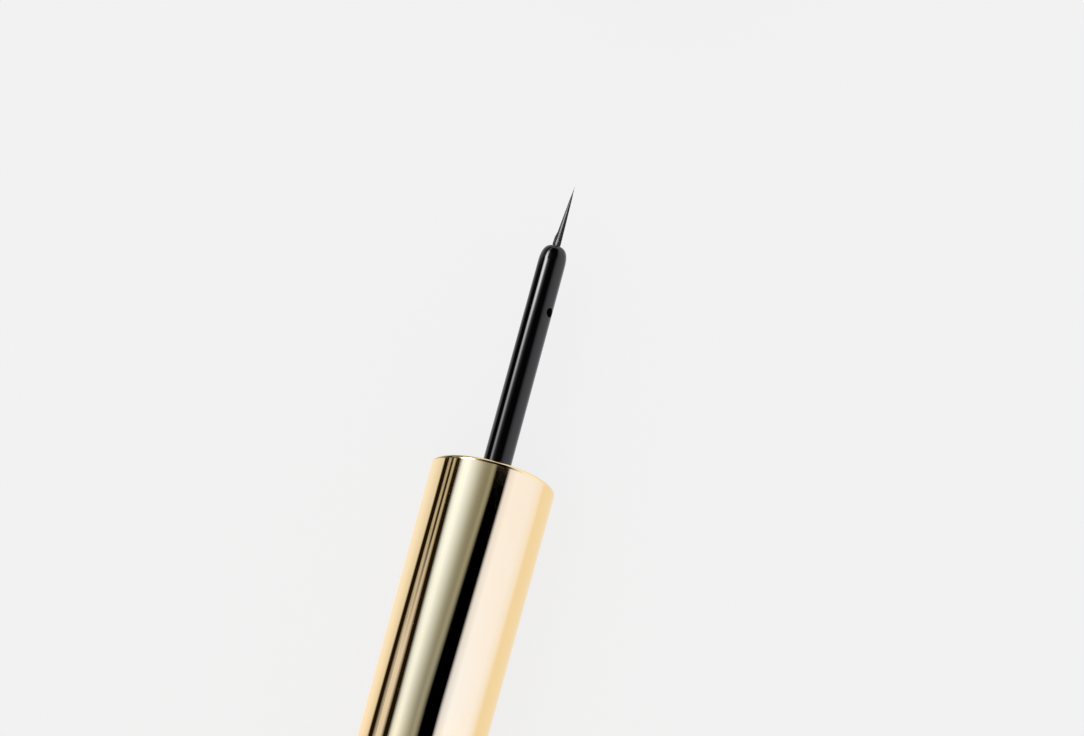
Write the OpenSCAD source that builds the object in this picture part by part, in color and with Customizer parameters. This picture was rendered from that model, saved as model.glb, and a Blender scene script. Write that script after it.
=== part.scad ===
// Liquid eyeliner with a dip brush: a gold cap that carries a wand and a pointed
// brush, and the bottle that it screws on to. Both lie on one axis, the cap drawn out.

/* [Gold cap] */
// Outer diameter of the cap at its open rim
cap_d = 13; // [12.6:0.1:16]
// How much narrower the cap is at its closed end
cap_draft = 0.4; // [0:0.05:1]
// Length of the cap from the rim to the closed end
cap_len = 62; // [45:1:90]
// Wall of the gold shell
cap_wall = 0.7; // [0.5:0.05:0.8]
// Thickness of the closed end
cap_end_wall = 1.4; // [0.8:0.1:3]
// Radius turned on the outer edge of the rim
rim_round = 0.5; // [0.1:0.05:1]
// Radius on the edge of the closed end
cap_end_round = 1; // [0.2:0.1:2]

/* [Inner cap] */
// How far the inner cap sits behind the rim
inner_inset = 1.2; // [0.4:0.1:3]
// Radial room for the two threads between the neck and the inner cap
thread_room = 0.8; // [0.5:0.05:0.9]
// Thickness of the web that carries the wand
web_t = 1.6; // [1:0.1:3]
// Outer diameter of the boss behind the web
boss_d = 6; // [4.8:0.1:8]
// Length of the boss behind the web
boss_len = 3.6; // [2.4:0.1:6]
// Thickness of the skirt between the ribs
skirt_wall = 0.55; // [0.4:0.05:0.6]
// Number of grip ribs on the outside of the inner cap
rib_count = 12; // [6:1:24]
// Width of one grip rib
rib_w = 0.9; // [0.4:0.1:1.2]
// Chamfer at the mouth of the inner cap
mouth_chamfer = 0.3; // [0.1:0.05:0.5]
// Thickness of the sealing washer
washer_t = 0.9; // [0.5:0.1:2]

/* [Wand] */
// Diameter of the wand where it passes the rim
wand_d = 2.94; // [2.6:0.01:2.95]
// Diameter of the wand behind its rounded nose
wand_head_d = 2.83; // [2.4:0.01:2.9]
// Length of the wand beyond the rim
wand_out = 25.3; // [18:0.1:32]
// Length of the rounded nose
nose_len = 2.4; // [1:0.1:4]
// Roundness of the nose, where 2 is an ellipse and more is squarer
nose_power = 2.8; // [2:0.1:4]
// Diameter of the collar that seats on the web
flange_d = 5.2; // [4.4:0.1:6]
// Thickness of the collar that seats on the web
flange_t = 0.8; // [0.4:0.1:0.9]
// Diameter of the tail in the boss
tail_d = 3.1; // [2.2:0.1:3.6]
// Length of the tail behind the web's front face
tail_len = 4.8; // [3.6:0.1:5]
// Height of the snap bead on the tail
bead_h = 0.15; // [0.05:0.05:0.3]
// Width of the snap bead on the tail
bead_w = 1; // [0.4:0.1:1.4]
// Diameter of the cross hole behind the nose
vent_d = 1; // [0.6:0.1:1.4]
// Distance of the cross hole from the wand's end
vent_back = 7; // [6.2:0.1:12]
// Turn of the cross hole from straight up, in degrees
vent_turn = 55; // [0:1:180]

/* [Brush] */
// Diameter of the tuft at its root
tuft_d = 0.81; // [0.5:0.01:1.4]
// Length of the tuft beyond the wand
tuft_out = 6.8; // [4:0.1:10]
// Length of the fused root in the wand
tuft_root_len = 5; // [2:0.1:5.6]
// Depth of the fused root's face below the wand's end
tuft_set = 0.3; // [0.1:0.05:0.6]
// Rows of strands across the tuft
tuft_rows = 18; // [17:1:22]
// Width of a strand as a share of the room it has
strand_share = 0.72; // [0.4:0.02:0.9]
// How much shorter the outermost strands are, as a share of the tuft
short_share = 0.2; // [0:0.02:0.5]
// Sideways lean of the tuft, in degrees
tuft_lean = 1.8; // [0:0.1:4]

/* [Bottle] */
// Outer diameter of the bottle at its shoulder
bottle_d = 13; // [12.4:0.1:16]
// How much narrower the bottle is at its base
bottle_draft = 0.4; // [0:0.05:1]
// Length of the bottle from the shoulder to the base
bottle_len = 53.4; // [44:0.2:80]
// Wall of the bottle's outer shell
shell_wall = 0.8; // [0.6:0.05:1]
// Thickness of the outer shell's base
base_wall = 1.4; // [0.8:0.1:3]
// Radius on the edge of the base
base_round = 1; // [0.2:0.1:2]
// Height of the gold collar's band
collar_t = 1.4; // [0.8:0.1:3]
// Radius on the collar's front edge
collar_round = 0.3; // [0.1:0.05:0.6]
// Length of the collar's spigot in the shell
spigot_len = 1.6; // [0.8:0.1:3]
// Wall of the collar's spigot
spigot_wall = 0.7; // [0.4:0.05:0.9]

/* [Vial] */
// Diameter of the neck under its thread
neck_d = 7.9; // [7.6:0.1:8.2]
// Height of the neck above the shoulder
neck_h = 12; // [10:0.1:14]
// Wall of the neck
neck_wall = 0.9; // [0.6:0.05:1]
// Chamfer on the neck's top edge
neck_chamfer = 0.25; // [0.1:0.05:0.4]
// Wall of the vial at its floor, where it is thinnest
vial_wall = 0.9; // [0.7:0.05:1.2]
// Thickness of the vial's floor
vial_floor = 1; // [0.6:0.1:2]
// Height of the bead that holds the collar
neck_bead_h = 0.3; // [0.1:0.05:0.4]
// Width of the bead that holds the collar
neck_bead_w = 0.9; // [0.4:0.1:1.4]
// Diameter of the steel mixing ball
ball_d = 2.5; // [1.5:0.1:2.8]

/* [Wiper] */
// Height of the wiper's flange on the neck
wiper_flange_t = 0.6; // [0.3:0.1:1]
// Depth of the wiper below the neck's top
wiper_len = 8.6; // [7:0.1:10]
// Depth at which the wiper starts to narrow
wiper_cup_len = 4.8; // [3:0.1:6]
// Wall of the wiper's cup
wiper_wall = 0.5; // [0.3:0.05:0.7]
// Wall of the wiper's lip
lip_wall = 0.35; // [0.2:0.05:0.5]
// Length of the straight lip at the wiper's end
lip_len = 1.2; // [0.5:0.1:2]

/* [Arrangement] */
// Gap between the brush tip and the bottle's mouth
draw_gap = 25; // [22:1:60]

/* [Fits] */
// Radial gap of pieces that are pressed or glued together
press_gap = 0.03; // [0.01:0.01:0.05]
// Radial gap of pieces that turn or slide on each other
run_gap = 0.1; // [0.05:0.01:0.15]
// Axial play of the washer under the web
washer_play = 0.05; // [0.02:0.01:0.1]
// Gap left between the washer and the wiper when the cap is home
seal_gap = 0.1; // [0.05:0.01:0.2]
// Gap between the cap's rim and the collar when the cap is home
rim_gap = 0.3; // [0.2:0.05:0.6]

/* [Hidden] */

// Overrun of every cut
cut = 1;
// Steps in a quarter round and in the nose
arc_steps = 8;
nose_steps = 14;
// Sides of every turned surface
turn_sides = 96;
// Turn that puts the outer pieces' seams at the top, away from the surface they lie on
seam_turn = 180;

// Heights along the cap, from the rim, where minus is inside the cap
cavity_len = cap_len - cap_end_wall;
washer_z = -(neck_h + wiper_flange_t + seal_gap + rim_gap);
web_z = washer_z - washer_t - washer_play;
web_back_z = web_z - web_t;
boss_end_z = web_back_z - boss_len;
bead_z = web_z - tail_len + bead_w;
rim_r = min(rim_round, cap_wall);
cap_end_d = cap_d - cap_draft;
cap_end_r = min(cap_end_round, cap_end_wall);

// Radii of the inner cap
inner_bore_r = neck_d / 2 + thread_room;
skirt_r = inner_bore_r + skirt_wall;
socket_r = tail_d / 2 + press_gap;

// The wand tapers evenly from its collar to its nose
wand_slope = (wand_head_d - wand_d) / 2 / (wand_out - nose_len);
wand_root_r = wand_d / 2 + wand_slope * (web_z + flange_t);
tuft_bore_r = tuft_d / 2 + press_gap;
tuft_bore_len = vent_back + vent_d;

// Heights along the bottle, from the shoulder, where minus is up the neck
step_z = collar_t + press_gap;
step_end_z = collar_t + spigot_len + press_gap;
spigot_r = shell_in_r(collar_t + spigot_len) - press_gap;
step_r = spigot_r - spigot_wall - press_gap;
vial_end_z = bottle_len - base_wall;
vial_in_r = shell_in_r(vial_end_z) - press_gap - vial_wall;
vial_floor_z = vial_end_z - vial_floor;
neck_r = neck_d / 2;
neck_in_r = neck_r - neck_wall;
neck_cone_z = step_end_z + vial_in_r - neck_in_r;
base_d = bottle_d - bottle_draft;
base_r = min(base_round, base_wall);

// The wiper's mouth clears the thickest part of the wand that passes it
wiper_r = neck_in_r - press_gap;
lip_r = wand_root_r + run_gap;

// Places along the axis, with the whole length centred on the origin
whole_len = cap_len + wand_out + tuft_out + draw_gap + wiper_flange_t + neck_h + bottle_len;
rim_x = cap_len - whole_len / 2;
shoulder_x = whole_len / 2 - bottle_len;
axis_z = max(cap_d, bottle_d) / 2;

// The mixing ball lies on the vial's lower wall, near its floor
ball_drop = vial_in_r - ball_d / 2 - run_gap;
ball_x = shoulder_x + vial_floor_z - ball_d;

// Outer and inner radius of the cap at a depth behind the rim
function cap_r(depth) = (cap_d - cap_draft * depth / cap_len) / 2;
function cap_in_r(depth) = cap_r(depth) - cap_wall;

// Inner radius of the bottle's shell at a distance below the shoulder
function shell_in_r(z) = (bottle_d - bottle_draft * z / bottle_len) / 2 - shell_wall;

// Points of a round with its centre, radius and first and last angle
function round_points(centre, r, first, last) = [
  for (i = [0:arc_steps])
    let (a = first + (last - first) * i / arc_steps)
    centre + r * [cos(a), sin(a)]
];

// Points of a raised bead on a turned surface of radius r
function bead_points(r, z, h, w) = [[r, z - w / 2], [r + h, z - w / 4], [r + h, z + w / 4], [r, z + w / 2]];

// A turned piece from its half outline
module turned(outline) {
  rotate_extrude($fn = turn_sides) polygon(outline);
}

// Lays a piece that stands on the Z axis along the pen's axis, pointing at the bottle
module along_axis(x) {
  translate([x, 0, axis_z]) rotate([0, 90, 0]) children();
}

// Drawn shell with a turned rim and a flat closed end
module gold_cap() {
  color("gold")
  along_axis(rim_x)
  rotate([0, 0, seam_turn])
  turned(concat(
    round_points([cap_d / 2 - rim_r, -rim_r], rim_r, 0, 90),
    [
      [cap_in_r(0), 0],
      [cap_in_r(cavity_len), -cavity_len],
      [0, -cavity_len],
      [0, -cap_len]
    ],
    round_points([cap_end_d / 2 - cap_end_r, cap_end_r - cap_len], cap_end_r, -90, 0)
  ));
}

// Moulded liner that holds the thread, the washer and the wand
module inner_cap() {
  rib_reach = cap_in_r(-web_back_z) - press_gap;
  rib_r = sqrt(pow(rib_reach, 2) - pow(rib_w / 2, 2));
  color("dimgray")
  along_axis(rim_x) {
    turned(concat(
      [
        [inner_bore_r + mouth_chamfer, -inner_inset],
        [inner_bore_r, -inner_inset - mouth_chamfer],
        [inner_bore_r, web_z],
        [socket_r, web_z]
      ],
      [for (p = bead_points(socket_r, bead_z, bead_h, bead_w)) [p[0], 2 * bead_z - p[1]]],
      [
        [socket_r, boss_end_z],
        [boss_d / 2, boss_end_z],
        [boss_d / 2, web_back_z],
        [skirt_r, web_back_z],
        [skirt_r, -inner_inset]
      ]
    ));
    for (i = [0:rib_count - 1])
      rotate([0, 0, 360 * i / rib_count])
      translate([inner_bore_r + skirt_wall / 2, -rib_w / 2, web_back_z])
      cube([rib_r - inner_bore_r - skirt_wall / 2, rib_w, web_t - web_z - inner_inset - rib_w]);
  }
}

// Soft ring that seals on the wiper's flange
module seal_washer() {
  color("whitesmoke")
  along_axis(rim_x)
  translate([0, 0, washer_z - washer_t])
  difference() {
    cylinder(h = washer_t, r = inner_bore_r - run_gap, $fn = turn_sides);
    translate([0, 0, -cut])
    cylinder(h = washer_t + 2 * cut, r = flange_d / 2 + run_gap, $fn = turn_sides);
  }
}

// Tapered stem with a snapped tail, a rounded nose and a bore for the tuft
module wand() {
  function nose_r(h) = wand_head_d / 2 * pow(1 - pow(1 - h / nose_len, nose_power), 1 / nose_power);
  color("black")
  along_axis(rim_x)
  difference() {
    turned(concat(
      [[0, web_z - tail_len], [tail_d / 2, web_z - tail_len]],
      bead_points(tail_d / 2, bead_z, bead_h, bead_w),
      [
        [tail_d / 2, web_z],
        [flange_d / 2, web_z],
        [flange_d / 2, web_z + flange_t],
        [wand_root_r, web_z + flange_t],
        [wand_head_d / 2, wand_out - nose_len]
      ],
      [
        for (i = [1:nose_steps])
          let (h = nose_len * pow(1 - i / nose_steps, 2))
          [nose_r(h), wand_out - h]
      ]
    ));
    translate([0, 0, wand_out - tuft_bore_len])
    cylinder(h = tuft_bore_len + cut, r = tuft_bore_r, $fn = turn_sides);
    translate([0, 0, wand_out - vent_back])
    rotate([0, 0, vent_turn])
    rotate([0, 90, 0])
    cylinder(h = wand_d + 2 * cut, d = vent_d, center = true, $fn = turn_sides);
  }
}

// Pointed tuft: strands that narrow to one point, fused into one root.
// A square grid is laid on the round root, so that each cell holds one strand.
module brush_tuft() {
  rows = tuft_rows;
  reach = tuft_out + tuft_set;
  // A grid point at i, j, laid on a disc of unit radius
  function on_disc(i, j) =
    let (a = 2 * i / rows - 1, b = 2 * j / rows - 1)
    a == 0 && b == 0 ? [0, 0]
    : abs(a) >= abs(b) ? a * [cos(45 * b / a), sin(45 * b / a)]
    : b * [sin(45 * a / b), cos(45 * a / b)];
  // A point of the tuft from its place on the disc and its height above the root
  function tuft_point(p, h) =
    let (r = tuft_d / 2 * (1 - h / reach))
    [r * p[0], r * p[1] - h * tan(tuft_lean), h];
  function middle(i, j) = (on_disc(i, j) + on_disc(i + 1, j) + on_disc(i + 1, j + 1) + on_disc(i, j + 1)) / 4;
  // Corners of the cell at i, j, counted round
  corners = [[0, 0], [1, 0], [1, 1], [0, 1]];
  cells = [for (i = [0:rows - 1]) for (j = [0:rows - 1]) [i, j]];
  grid = [for (i = [0:rows]) for (j = [0:rows]) tuft_point(on_disc(i, j), 0)];
  feet = [
    for (c = cells)
      for (k = corners)
        let (m = middle(c[0], c[1]), p = on_disc(c[0] + k[0], c[1] + k[1]))
        tuft_point(m + strand_share * (p - m), 0)
  ];
  // The longest strand stops just short of the point where all would meet
  tips = [
    for (c = cells)
      let (m = middle(c[0], c[1]), stop_share = 0.99 - short_share * pow(norm(m), 2))
      tuft_point(m, reach * stop_share)
  ];
  // Grid places round the rim of the root
  edge = concat(
    [for (i = [0:rows - 1]) [i, 0]],
    [for (j = [0:rows - 1]) [rows, j]],
    [for (i = [rows:-1:1]) [i, rows]],
    [for (j = [rows:-1:1]) [0, j]]
  );
  under = [for (e = edge) let (p = tuft_point(on_disc(e[0], e[1]), 0)) [p[0], p[1], -tuft_root_len]];
  function grid_at(i, j) = i * (rows + 1) + j;
  foot_at = len(grid);
  tip_at = foot_at + len(feet);
  under_at = tip_at + len(tips);
  base_at = under_at + len(under);
  faces = [
    for (n = [0:len(cells) - 1])
      for (k = [0:3])
        let (
          next = (k + 1) % 4,
          c = cells[n],
          g = grid_at(c[0] + corners[k][0], c[1] + corners[k][1]),
          g_next = grid_at(c[0] + corners[next][0], c[1] + corners[next][1]),
          f = foot_at + 4 * n + k,
          f_next = foot_at + 4 * n + next
        )
        each [[g, g_next, f_next], [g, f_next, f], [f, f_next, tip_at + n]],
    for (n = [0:len(edge) - 1])
      let (
        next = (n + 1) % len(edge),
        e = grid_at(edge[n][0], edge[n][1]),
        e_next = grid_at(edge[next][0], edge[next][1])
      )
      each [[e_next, e, under_at + n], [e_next, under_at + n, under_at + next], [base_at, under_at + next, under_at + n]]
  ];
  color("dimgray")
  along_axis(rim_x)
  translate([0, 0, wand_out - tuft_set])
  polyhedron(
    points = concat(grid, feet, tips, under, [[0, 0, -tuft_root_len]]),
    faces = [for (f = faces) [f[2], f[1], f[0]]]
  );
}

// Outer shell of the bottle, open at the shoulder
module bottle_shell() {
  color([0.06, 0.06, 0.07])
  along_axis(shoulder_x)
  rotate([0, 0, seam_turn])
  turned(concat(
    [[shell_in_r(collar_t), collar_t], [bottle_d / 2, collar_t]],
    round_points([base_d / 2 - base_r, bottle_len - base_r], base_r, 0, 90),
    [[0, bottle_len], [0, vial_end_z], [shell_in_r(vial_end_z), vial_end_z]]
  ));
}

// Gold ring that closes the shell and holds the vial down
module shoulder_collar() {
  hole_r = neck_r + run_gap;
  color("gold")
  along_axis(shoulder_x)
  rotate([0, 0, seam_turn])
  turned(concat(
    [[hole_r, 0]],
    round_points([bottle_d / 2 - collar_round, collar_round], collar_round, -90, 0),
    [
      [bottle_d / 2, collar_t],
      [spigot_r, collar_t],
      [spigot_r, collar_t + spigot_len],
      [spigot_r - spigot_wall, collar_t + spigot_len],
      [spigot_r - spigot_wall, collar_t],
      [hole_r, collar_t]
    ]
  ));
}

// Moulded vial with a neck, a stepped shoulder and a flat floor
module vial() {
  color([0.85, 0.87, 0.88])
  along_axis(shoulder_x)
  turned(concat(
    [
      [neck_in_r, -neck_h],
      [neck_r - neck_chamfer, -neck_h],
      [neck_r, neck_chamfer - neck_h]
    ],
    bead_points(neck_r, -neck_bead_w / 2 - press_gap, neck_bead_h, neck_bead_w),
    [
      [neck_r, step_z],
      [step_r, step_z],
      [step_r, step_end_z],
      [shell_in_r(step_end_z) - press_gap, step_end_z],
      [shell_in_r(vial_end_z) - press_gap, vial_end_z],
      [0, vial_end_z],
      [0, vial_floor_z],
      [vial_in_r, vial_floor_z],
      [vial_in_r, neck_cone_z],
      [neck_in_r, step_end_z]
    ]
  ));
}

// Soft cup pushed into the neck, which strips the wand as it is drawn out
module wiper() {
  lip_z = wiper_len - lip_len;
  color("white")
  along_axis(shoulder_x)
  translate([0, 0, -neck_h])
  turned([
    [wiper_r - wiper_wall, -wiper_flange_t],
    [neck_r - neck_chamfer, -wiper_flange_t],
    [neck_r - neck_chamfer, 0],
    [wiper_r, 0],
    [wiper_r, wiper_cup_len],
    [lip_r + lip_wall, lip_z],
    [lip_r + lip_wall, wiper_len],
    [lip_r, wiper_len],
    [lip_r, lip_z],
    [wiper_r - wiper_wall, wiper_cup_len]
  ]);
}

// Steel ball that stirs the ink when the bottle is shaken
module mixing_ball() {
  color("silver")
  translate([ball_x, 0, axis_z - ball_drop])
  sphere(d = ball_d, $fn = turn_sides);
}

gold_cap();
inner_cap();
seal_washer();
wand();
brush_tuft();
bottle_shell();
shoulder_collar();
vial();
wiper();
mixing_ball();
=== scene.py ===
import math
import random

import bmesh
import bpy
from mathutils import Matrix, Vector


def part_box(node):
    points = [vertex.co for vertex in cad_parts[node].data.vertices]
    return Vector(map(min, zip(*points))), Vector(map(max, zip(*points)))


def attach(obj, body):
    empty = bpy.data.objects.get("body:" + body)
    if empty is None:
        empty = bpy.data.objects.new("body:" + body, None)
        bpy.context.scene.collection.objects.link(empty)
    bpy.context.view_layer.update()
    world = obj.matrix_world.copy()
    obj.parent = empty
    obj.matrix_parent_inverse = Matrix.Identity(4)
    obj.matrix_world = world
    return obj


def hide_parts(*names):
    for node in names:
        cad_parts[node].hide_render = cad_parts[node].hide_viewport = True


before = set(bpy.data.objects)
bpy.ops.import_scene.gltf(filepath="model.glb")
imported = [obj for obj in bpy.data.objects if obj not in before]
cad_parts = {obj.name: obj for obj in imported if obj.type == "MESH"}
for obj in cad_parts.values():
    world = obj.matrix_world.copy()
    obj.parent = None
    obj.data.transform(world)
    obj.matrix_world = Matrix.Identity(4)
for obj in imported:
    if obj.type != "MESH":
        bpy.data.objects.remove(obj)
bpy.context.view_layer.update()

# The camera looks down on the pen as in the photograph: the pen points up and a little to
# the right, and its brush is further away than its cap. It is placed by the middle of the
# cap's rim, whose place in the picture is known.
mm = 0.001
picture_w = 1084
picture_h = 736
pixels_per_mm = 9.86
rim_pixel = (493.25, 477.1)
pen_lean = math.radians(15.25)
pen_dip = math.radians(15.8)
camera_distance = 1300 * mm
sensor_w = 36
near_clip = 10 * mm
far_clip = 100

cap_low, cap_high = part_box("gold_cap")
rim_x = cap_high.x
axis_z = (cap_low.z + cap_high.z) / 2

pen_in_camera = Vector((
    math.cos(pen_dip) * math.sin(pen_lean),
    math.cos(pen_dip) * math.cos(pen_lean),
    -math.sin(pen_dip),
))
towards_camera = Vector((0, 0, 1))
up_in_camera = (towards_camera - towards_camera.dot(pen_in_camera) * pen_in_camera).normalized()
side_in_camera = up_in_camera.cross(pen_in_camera)
camera_turn = Matrix((pen_in_camera, side_in_camera, up_in_camera))
focal_pixels = pixels_per_mm / mm * camera_distance
rim_ray = Vector((
    (rim_pixel[0] - picture_w / 2) / focal_pixels,
    (picture_h / 2 - rim_pixel[1]) / focal_pixels,
    -1,
))
camera = bpy.data.objects.new("camera", bpy.data.cameras.new("camera"))
camera.data.sensor_width = sensor_w
camera.data.lens = sensor_w * focal_pixels / picture_w
camera.data.clip_start = near_clip
camera.data.clip_end = far_clip
camera.matrix_world = (
    Matrix.Translation(Vector((rim_x, 0, axis_z)) - camera_distance * (camera_turn @ rim_ray))
    @ camera_turn.to_4x4()
)
bpy.context.scene.collection.objects.link(camera)
bpy.context.scene.camera = camera


# Shader maths is written on what nodes give out.
class Shade:
    """What one node gives out. Sums and products of it add Math nodes."""

    def __init__(self, finish, node, output=0):
        self.finish = finish
        self.node = node
        self.socket = node.outputs[output] if node.outputs else None

    def out(self, name):
        return Shade(self.finish, self.node, name)

    def maths(self, operation, first, second):
        return self.finish.node("ShaderNodeMath", {"operation": operation}, {0: first, 1: second})

    def __add__(self, other):
        return self.maths("ADD", self, other)

    def __radd__(self, other):
        return self.maths("ADD", other, self)

    def __sub__(self, other):
        return self.maths("SUBTRACT", self, other)

    def __rsub__(self, other):
        return self.maths("SUBTRACT", other, self)

    def __mul__(self, other):
        return self.maths("MULTIPLY", self, other)

    def __rmul__(self, other):
        return self.maths("MULTIPLY", other, self)

    def at_most(self, other):
        return self.maths("MINIMUM", self, other)

    def at_least(self, other):
        return self.maths("MAXIMUM", self, other)


class Finish:
    """The nodes of one material or of the world."""

    def __init__(self, owner):
        owner.use_nodes = True
        self.owner = owner
        self.tree = owner.node_tree
        self.tree.nodes.clear()

    def node(self, kind, settings=None, sockets=None, output=0):
        """A node with its settings made first, and then its sockets set or linked."""
        made = self.tree.nodes.new(kind)
        for name, value in (settings or {}).items():
            setattr(made, name, value)
        for name, value in (sockets or {}).items():
            if isinstance(value, Shade):
                self.tree.links.new(value.socket, made.inputs[name])
            else:
                made.inputs[name].default_value = value
        return Shade(self, made, output)

    def mixed(self, share, first, second):
        """A colour between two colours, which a Mix node takes in at 6 and 7 and gives out at 2."""
        sockets = {0: share, 6: first, 7: second}
        return self.node("ShaderNodeMix", {"data_type": "RGBA"}, sockets, output=2)


def grey(level):
    return (level, level, level, 1)


# The studio is a pale floor under an even white sky. To the lens and in reflections, both
# show the photograph's pale grey. For soft light the sky is plain white, a little dimmer
# where a broad lamp adds to it.
backdrop_level = 0.887
floor_own_share = 0.9
floor_albedo = 0.85
sky_level = 0.84
floor_side = 12
floor_drop = 0.02 * mm


def seen_directly(finish):
    """1 for rays from the lens, mirrors and glass, and 0 for rays that gather soft light."""
    path = finish.node("ShaderNodeLightPath")
    through = path.out("Is Glossy Ray") + path.out("Is Transmission Ray")
    return (path.out("Is Camera Ray") + through).at_most(1)


world = bpy.data.worlds.new("sky")
bpy.context.scene.world = world
sky = Finish(world)
sky_colour = sky.mixed(seen_directly(sky), grey(sky_level), grey(backdrop_level))
sky.node("ShaderNodeOutputWorld", {}, {
    "Surface": sky.node("ShaderNodeBackground", {}, {"Color": sky_colour}),
})

paper = Finish(bpy.data.materials.new("paper floor"))
direct = seen_directly(paper)
paper_colour = paper.mixed(direct, grey(floor_albedo), grey(backdrop_level * (1 - floor_own_share)))
paper_light = paper.mixed(direct, grey(0), grey(backdrop_level * floor_own_share))
paper.node("ShaderNodeOutputMaterial", {}, {
    "Surface": paper.node("ShaderNodeAddShader", {}, {
        0: paper.node("ShaderNodeBsdfDiffuse", {}, {"Color": paper_colour}),
        1: paper.node("ShaderNodeEmission", {}, {"Color": paper_light, "Strength": 1}),
    }),
})


def piece_from(bm, name, finish, smooth=True):
    """Turns a bmesh into an object in the scene, wearing a finish."""
    mesh = bpy.data.meshes.new(name)
    bm.to_mesh(mesh)
    bm.free()
    for face in mesh.polygons:
        face.use_smooth = smooth
    mesh.materials.append(finish.owner)
    made = bpy.data.objects.new(name, mesh)
    bpy.context.scene.collection.objects.link(made)
    return made


bm = bmesh.new()
bmesh.ops.create_grid(bm, x_segments=1, y_segments=1, size=floor_side / 2)
bmesh.ops.translate(bm, vec=(0, 0, -floor_drop), verts=bm.verts)
piece_from(bm, "floor", paper, smooth=False)

lamp_side = 0.5
lamp_power = 1.6
lamp_place = Vector((-0.25, 0.4, 0.75))
lamp = bpy.data.objects.new("soft_lamp", bpy.data.lights.new("soft_lamp", "AREA"))
lamp.data.size = lamp_side
lamp.data.energy = lamp_power
lamp.location = lamp_place
lamp.rotation_euler = lamp_place.to_track_quat("Z", "Y").to_euler()
lamp.visible_glossy = False
bpy.context.scene.collection.objects.link(lamp)

# Mirror gold and black gloss show nothing but their surroundings, so bent cards hang round
# the pen, which only reflections see. A card is set by where the camera sees it: the place
# along the pen, and the direction in degrees from straight up, minus to the picture's left.
# Directions below the horizon end just above the floor.
rim_dip = math.asin(rim_ray.normalized().dot(pen_in_camera))
card_radius = 250 * mm
card_lift = 0.3 * mm
card_gap = 2 * mm
card_turn = 1
row_steps = 10
far_away = 600 * mm
pale = (backdrop_level,) * 3

card = Finish(bpy.data.materials.new("studio card"))
card_light = card.node("ShaderNodeAttribute", {"attribute_name": "light"}, {}, "Color")
card.node("ShaderNodeOutputMaterial", {}, {
    "Surface": card.node("ShaderNodeEmission", {}, {"Color": card_light, "Strength": 1}),
})
card.owner.cycles.emission_sampling = "NONE"


def card_point(x, degrees, pen_r, layer):
    """A point of a card, seen by the camera at x on a mirror of radius pen_r. Higher layers hang closer."""
    turn = math.radians(degrees)
    side = pen_r * math.sin(turn / 2)
    height = axis_z + pen_r * math.cos(turn / 2)
    reach = card_radius - card_gap * layer
    if math.cos(turn) < 0:
        reach = min(reach, (height - card_lift * (layer + 1)) / -math.cos(turn))
    return (
        x + reach * math.tan(rim_dip),
        -side - reach * math.sin(turn),
        height + reach * math.cos(turn),
    )


def spread(first, last, share):
    return first + (last - first) * share


def blend(first, last, share):
    """A light or a place part of the way from the first to the last."""
    return tuple(spread(a, b, share) for a, b in zip(first, last))


def dimmed(light, share):
    return tuple(level * share for level in light)


def hang_card(name, pen_r, rows, layer=1):
    """A bent card from rows of stops. A row is a place along the pen, then its directions and
    their lights. Between rows and between stops, both change evenly."""
    widths = [abs(b[0] - a[0]) for _, stops in rows for a, b in zip(stops, stops[1:])]
    steps = math.ceil(max(widths) / card_turn)
    last_row = len(rows) - 1
    last_stop = len(rows[0][1]) - 1
    bm = bmesh.new()
    light = bm.verts.layers.float_color.new("light")
    bmesh.ops.create_grid(bm, x_segments=last_stop * steps, y_segments=last_row * row_steps, size=1)
    for n, corner in enumerate(bm.verts):
        line, place = divmod(n, last_stop * steps + 1)
        row, step = divmod(line, row_steps)
        stop, part = divmod(place, steps)
        next_stop = min(stop + 1, last_stop)
        ends = []
        for x, stops in (rows[row], rows[min(row + 1, last_row)]):
            degrees = spread(stops[stop][0], stops[next_stop][0], part / steps)
            ends.append(((x, degrees), blend(stops[stop][1], stops[next_stop][1], part / steps)))
        (near_place, near_light), (far_place, far_light) = ends
        corner.co = card_point(*blend(near_place, far_place, step / row_steps), pen_r, layer)
        corner[light] = (*blend(near_light, far_light, step / row_steps), 1)
    made = piece_from(bm, name, card)
    made.visible_camera = False
    made.visible_diffuse = False
    made.visible_shadow = False
    made.visible_transmission = False


# The cap mirrors a pale floor, two tan stripes, a cream card that fades into olive, and an
# ivory card. They drift a little between its rim and the picture's foot.
cap_r = (cap_high.z - cap_low.z) / 2
near_row = rim_x - 5.6 * mm
middle_row = rim_x - 11.5 * mm
merged_row = rim_x - 27.5 * mm
far_row = rim_x - 32.5 * mm
plain_row = rim_x - 60 * mm
all_round = 178
wand_cards_len = 42 * mm
black = (0, 0, 0)
umber = (0.013, 0.007, 0.001)
floor_near = (0.97, 0.97, 1)
floor_far = (1, 0.95, 0.92)
tan_dim = (0.54, 0.52, 0.49)
tan_light = (0.77, 0.76, 0.87)
cream_near = (1.03, 1.26, 1.83)
cream_far = (0.94, 1.13, 1.6)
olive_near = (0.27, 0.29, 0.28)
olive_far = (0.29, 0.33, 0.37)
ivory_near = (1, 1.1, 1.6)
ivory_far = (1, 1.17, 1.84)
warm_light = (0.91, 0.86, 0.78)


def hang_cap_card(name, rows, layer=1, goes_on=True):
    """A card beside the cap. Far behind the cap it turns plain grey, so black pieces stay black in
    other views. It may go on beyond the wand's cards, where the cap's rim sees it."""
    first_stops = rows[0][1]
    plain_stops = [(degrees, (sum(light) / len(light),) * 3) for degrees, light in rows[-1][1]]
    hang_card(name, cap_r, [
        (rim_x, first_stops), *rows, (plain_row, plain_stops), (rim_x - far_away, plain_stops),
    ], layer)
    if goes_on:
        hang_card(
            name + "_beyond", cap_r,
            [(rim_x + wand_cards_len, first_stops), (rim_x + far_away, first_stops)], layer,
        )


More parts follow.
